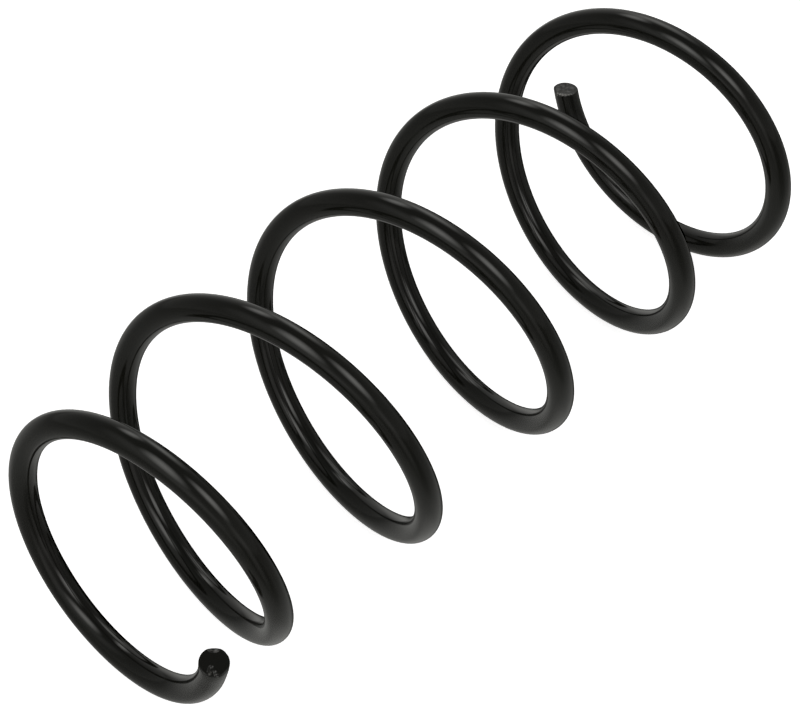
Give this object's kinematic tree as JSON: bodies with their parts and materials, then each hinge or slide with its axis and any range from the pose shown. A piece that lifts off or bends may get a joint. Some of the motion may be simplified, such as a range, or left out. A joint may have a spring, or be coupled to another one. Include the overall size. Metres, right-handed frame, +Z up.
{
  "type": "coil spring",
  "caption": "Right-hand wound cylindrical suspension coil spring of round steel wire with a drawn-in upper end, coated gloss black.",
  "frame": {"origin": "on the surface that the spring lies on, under the middle of the coil", "axes": "+Z up; the coil's axis lies along X, 76 mm up, with the lower end towards +X and the smaller upper end towards -X"},
  "size_m": [0.3837, 0.1522, 0.1522],
  "materials": {
    "black_coating": "semi-gloss"
  },
  "bodies": {
    "lower_end_coil": {"lower_end_turn_1_000deg": "black_coating", "lower_end_turn_1_045deg": "black_coating", "lower_end_turn_1_090deg": "black_coating", "lower_end_turn_1_135deg": "black_coating"},
    "upper_end_coil": {"upper_end_turn_5_315deg": "black_coating", "upper_end_turn_6_000deg": "black_coating", "upper_end_turn_6_045deg": "black_coating", "upper_end_turn_6_090deg": "black_coating", "upper_end_turn_6_135deg": "black_coating"},
    "section_turn_1_180deg": {"active_turn_1_180deg": "black_coating"},
    "section_turn_1_225deg": {"active_turn_1_225deg": "black_coating"},
    "section_turn_1_270deg": {"active_turn_1_270deg": "black_coating"},
    "section_turn_1_315deg": {"active_turn_1_315deg": "black_coating"},
    "section_turn_2_000deg": {"active_turn_2_000deg": "black_coating"},
    "section_turn_2_045deg": {"active_turn_2_045deg": "black_coating"},
    "section_turn_2_090deg": {"active_turn_2_090deg": "black_coating"},
    "section_turn_2_135deg": {"active_turn_2_135deg": "black_coating"},
    "section_turn_2_180deg": {"active_turn_2_180deg": "black_coating"},
    "section_turn_2_225deg": {"active_turn_2_225deg": "black_coating"},
    "section_turn_2_270deg": {"active_turn_2_270deg": "black_coating"},
    "section_turn_2_315deg": {"active_turn_2_315deg": "black_coating"},
    "section_turn_3_000deg": {"active_turn_3_000deg": "black_coating"},
    "section_turn_3_045deg": {"active_turn_3_045deg": "black_coating"},
    "section_turn_3_090deg": {"active_turn_3_090deg": "black_coating"},
    "section_turn_3_135deg": {"active_turn_3_135deg": "black_coating"},
    "section_turn_3_180deg": {"active_turn_3_180deg": "black_coating"},
    "section_turn_3_225deg": {"active_turn_3_225deg": "black_coating"},
    "section_turn_3_270deg": {"active_turn_3_270deg": "black_coating"},
    "section_turn_3_315deg": {"active_turn_3_315deg": "black_coating"},
    "section_turn_4_000deg": {"active_turn_4_000deg": "black_coating"},
    "section_turn_4_045deg": {"active_turn_4_045deg": "black_coating"},
    "section_turn_4_090deg": {"active_turn_4_090deg": "black_coating"},
    "section_turn_4_135deg": {"active_turn_4_135deg": "black_coating"},
    "section_turn_4_180deg": {"active_turn_4_180deg": "black_coating"},
    "section_turn_4_225deg": {"active_turn_4_225deg": "black_coating"},
    "section_turn_4_270deg": {"active_turn_4_270deg": "black_coating"},
    "section_turn_4_315deg": {"active_turn_4_315deg": "black_coating"},
    "section_turn_5_000deg": {"active_turn_5_000deg": "black_coating"},
    "section_turn_5_045deg": {"active_turn_5_045deg": "black_coating"},
    "section_turn_5_090deg": {"active_turn_5_090deg": "black_coating"},
    "section_turn_5_135deg": {"active_turn_5_135deg": "black_coating"},
    "section_turn_5_180deg": {"active_turn_5_180deg": "black_coating"},
    "section_turn_5_225deg": {"active_turn_5_225deg": "black_coating"},
    "section_turn_5_270deg": {"active_turn_5_270deg": "black_coating"}
  },
  "joints": [
    {"name": "compression", "type": "slide", "parent": "lower_end_coil", "child": "upper_end_coil", "axis": [1, 0, 0], "range_m": [0, 0.2], "stiffness_N_per_m": 19700},
    {"name": "give_turn_1_180deg", "type": "slide", "parent": "lower_end_coil", "child": "section_turn_1_180deg", "axis": [1, 0, 0], "range_m": [0, 0.0007]},
    {"name": "give_turn_1_225deg", "type": "slide", "parent": "lower_end_coil", "child": "section_turn_1_225deg", "axis": [1, 0, 0], "range_m": [0, 0.0026]},
    {"name": "give_turn_1_270deg", "type": "slide", "parent": "lower_end_coil", "child": "section_turn_1_270deg", "axis": [1, 0, 0], "range_m": [0, 0.0065]},
    {"name": "give_turn_1_315deg", "type": "slide", "parent": "lower_end_coil", "child": "section_turn_1_315deg", "axis": [1, 0, 0], "range_m": [0, 0.0123]},
    {"name": "give_turn_2_000deg", "type": "slide", "parent": "lower_end_coil", "child": "section_turn_2_000deg", "axis": [1, 0, 0], "range_m": [0, 0.0189]},
    {"name": "give_turn_2_045deg", "type": "slide", "parent": "lower_end_coil", "child": "section_turn_2_045deg", "axis": [1, 0, 0], "range_m": [0, 0.0255]},
    {"name": "give_turn_2_090deg", "type": "slide", "parent": "lower_end_coil", "child": "section_turn_2_090deg", "axis": [1, 0, 0], "range_m": [0, 0.0321]},
    {"name": "give_turn_2_135deg", "type": "slide", "parent": "lower_end_coil", "child": "section_turn_2_135deg", "axis": [1, 0, 0], "range_m": [0, 0.0387]},
    {"name": "give_turn_2_180deg", "type": "slide", "parent": "lower_end_coil", "child": "section_turn_2_180deg", "axis": [1, 0, 0], "range_m": [0, 0.0452]},
    {"name": "give_turn_2_225deg", "type": "slide", "parent": "lower_end_coil", "child": "section_turn_2_225deg", "axis": [1, 0, 0], "range_m": [0, 0.0518]},
    {"name": "give_turn_2_270deg", "type": "slide", "parent": "lower_end_coil", "child": "section_turn_2_270deg", "axis": [1, 0, 0], "range_m": [0, 0.0584]},
    {"name": "give_turn_2_315deg", "type": "slide", "parent": "lower_end_coil", "child": "section_turn_2_315deg", "axis": [1, 0, 0], "range_m": [0, 0.065]},
    {"name": "give_turn_3_000deg", "type": "slide", "parent": "lower_end_coil", "child": "section_turn_3_000deg", "axis": [1, 0, 0], "range_m": [0, 0.0716]},
    {"name": "give_turn_3_045deg", "type": "slide", "parent": "lower_end_coil", "child": "section_turn_3_045deg", "axis": [1, 0, 0], "range_m": [0, 0.0782]},
    {"name": "give_turn_3_090deg", "type": "slide", "parent": "lower_end_coil", "child": "section_turn_3_090deg", "axis": [1, 0, 0], "range_m": [0, 0.0848]},
    {"name": "give_turn_3_135deg", "type": "slide", "parent": "lower_end_coil", "child": "section_turn_3_135deg", "axis": [1, 0, 0], "range_m": [0, 0.0914]},
    {"name": "give_turn_3_180deg", "type": "slide", "parent": "lower_end_coil", "child": "section_turn_3_180deg", "axis": [1, 0, 0], "range_m": [0, 0.0979]},
    {"name": "give_turn_3_225deg", "type": "slide", "parent": "lower_end_coil", "child": "section_turn_3_225deg", "axis": [1, 0, 0], "range_m": [0, 0.1045]},
    {"name": "give_turn_3_270deg", "type": "slide", "parent": "lower_end_coil", "child": "section_turn_3_270deg", "axis": [1, 0, 0], "range_m": [0, 0.1111]},
    {"name": "give_turn_3_315deg", "type": "slide", "parent": "lower_end_coil", "child": "section_turn_3_315deg", "axis": [1, 0, 0], "range_m": [0, 0.1177]},
    {"name": "give_turn_4_000deg", "type": "slide", "parent": "lower_end_coil", "child": "section_turn_4_000deg", "axis": [1, 0, 0], "range_m": [0, 0.1243]},
    {"name": "give_turn_4_045deg", "type": "slide", "parent": "lower_end_coil", "child": "section_turn_4_045deg", "axis": [1, 0, 0], "range_m": [0, 0.1309]},
    {"name": "give_turn_4_090deg", "type": "slide", "parent": "lower_end_coil", "child": "section_turn_4_090deg", "axis": [1, 0, 0], "range_m": [0, 0.1375]},
    {"name": "give_turn_4_135deg", "type": "slide", "parent": "lower_end_coil", "child": "section_turn_4_135deg", "axis": [1, 0, 0], "range_m": [0, 0.1441]},
    {"name": "give_turn_4_180deg", "type": "slide", "parent": "lower_end_coil", "child": "section_turn_4_180deg", "axis": [1, 0, 0], "range_m": [0, 0.1507]},
    {"name": "give_turn_4_225deg", "type": "slide", "parent": "lower_end_coil", "child": "section_turn_4_225deg", "axis": [1, 0, 0], "range_m": [0, 0.1572]},
    {"name": "give_turn_4_270deg", "type": "slide", "parent": "lower_end_coil", "child": "section_turn_4_270deg", "axis": [1, 0, 0], "range_m": [0, 0.1638]},
    {"name": "give_turn_4_315deg", "type": "slide", "parent": "lower_end_coil", "child": "section_turn_4_315deg", "axis": [1, 0, 0], "range_m": [0, 0.1703]},
    {"name": "give_turn_5_000deg", "type": "slide", "parent": "lower_end_coil", "child": "section_turn_5_000deg", "axis": [1, 0, 0], "range_m": [0, 0.1765]},
    {"name": "give_turn_5_045deg", "type": "slide", "parent": "lower_end_coil", "child": "section_turn_5_045deg", "axis": [1, 0, 0], "range_m": [0, 0.1823]},
    {"name": "give_turn_5_090deg", "type": "slide", "parent": "lower_end_coil", "child": "section_turn_5_090deg", "axis": [1, 0, 0], "range_m": [0, 0.1875]},
    {"name": "give_turn_5_135deg", "type": "slide", "parent": "lower_end_coil", "child": "section_turn_5_135deg", "axis": [1, 0, 0], "range_m": [0, 0.1923]},
    {"name": "give_turn_5_180deg", "type": "slide", "parent": "lower_end_coil", "child": "section_turn_5_180deg", "axis": [1, 0, 0], "range_m": [0, 0.1964]},
    {"name": "give_turn_5_225deg", "type": "slide", "parent": "lower_end_coil", "child": "section_turn_5_225deg", "axis": [1, 0, 0], "range_m": [0, 0.199]},
    {"name": "give_turn_5_270deg", "type": "slide", "parent": "lower_end_coil", "child": "section_turn_5_270deg", "axis": [1, 0, 0], "range_m": [0, 0.2003]}
  ],
  "couplings": [
    {"joint": "give_turn_1_180deg", "follows": "compression", "ratio": 0.00118},
    {"joint": "give_turn_1_225deg", "follows": "compression", "ratio": 0.01062},
    {"joint": "give_turn_1_270deg", "follows": "compression", "ratio": 0.02977},
    {"joint": "give_turn_1_315deg", "follows": "compression", "ratio": 0.05918},
    {"joint": "give_turn_2_000deg", "follows": "compression", "ratio": 0.09197},
    {"joint": "give_turn_2_045deg", "follows": "compression", "ratio": 0.12491},
    {"joint": "give_turn_2_090deg", "follows": "compression", "ratio": 0.15785},
    {"joint": "give_turn_2_135deg", "follows": "compression", "ratio": 0.19079},
    {"joint": "give_turn_2_180deg", "follows": "compression", "ratio": 0.22373},
    {"joint": "give_turn_2_225deg", "follows": "compression", "ratio": 0.25667},
    {"joint": "give_turn_2_270deg", "follows": "compression", "ratio": 0.2896},
    {"joint": "give_turn_2_315deg", "follows": "compression", "ratio": 0.32254},
    {"joint": "give_turn_3_000deg", "follows": "compression", "ratio": 0.35548},
    {"joint": "give_turn_3_045deg", "follows": "compression", "ratio": 0.38842},
    {"joint": "give_turn_3_090deg", "follows": "compression", "ratio": 0.42136},
    {"joint": "give_turn_3_135deg", "follows": "compression", "ratio": 0.4543},
    {"joint": "give_turn_3_180deg", "follows": "compression", "ratio": 0.48724},
    {"joint": "give_turn_3_225deg", "follows": "compression", "ratio": 0.52018},
    {"joint": "give_turn_3_270deg", "follows": "compression", "ratio": 0.55312},
    {"joint": "give_turn_3_315deg", "follows": "compression", "ratio": 0.58606},
    {"joint": "give_turn_4_000deg", "follows": "compression", "ratio": 0.619},
    {"joint": "give_turn_4_045deg", "follows": "compression", "ratio": 0.65194},
    {"joint": "give_turn_4_090deg", "follows": "compression", "ratio": 0.68488},
    {"joint": "give_turn_4_135deg", "follows": "compression", "ratio": 0.71781},
    {"joint": "give_turn_4_180deg", "follows": "compression", "ratio": 0.75075},
    {"joint": "give_turn_4_225deg", "follows": "compression", "ratio": 0.78369},
    {"joint": "give_turn_4_270deg", "follows": "compression", "ratio": 0.81663},
    {"joint": "give_turn_4_315deg", "follows": "compression", "ratio": 0.84911},
    {"joint": "give_turn_5_000deg", "follows": "compression", "ratio": 0.88006},
    {"joint": "give_turn_5_045deg", "follows": "compression", "ratio": 0.9088},
    {"joint": "give_turn_5_090deg", "follows": "compression", "ratio": 0.93508},
    {"joint": "give_turn_5_135deg", "follows": "compression", "ratio": 0.95906},
    {"joint": "give_turn_5_180deg", "follows": "compression", "ratio": 0.97955},
    {"joint": "give_turn_5_225deg", "follows": "compression", "ratio": 0.99271},
    {"joint": "give_turn_5_270deg", "follows": "compression", "ratio": 0.99919}
  ]
}
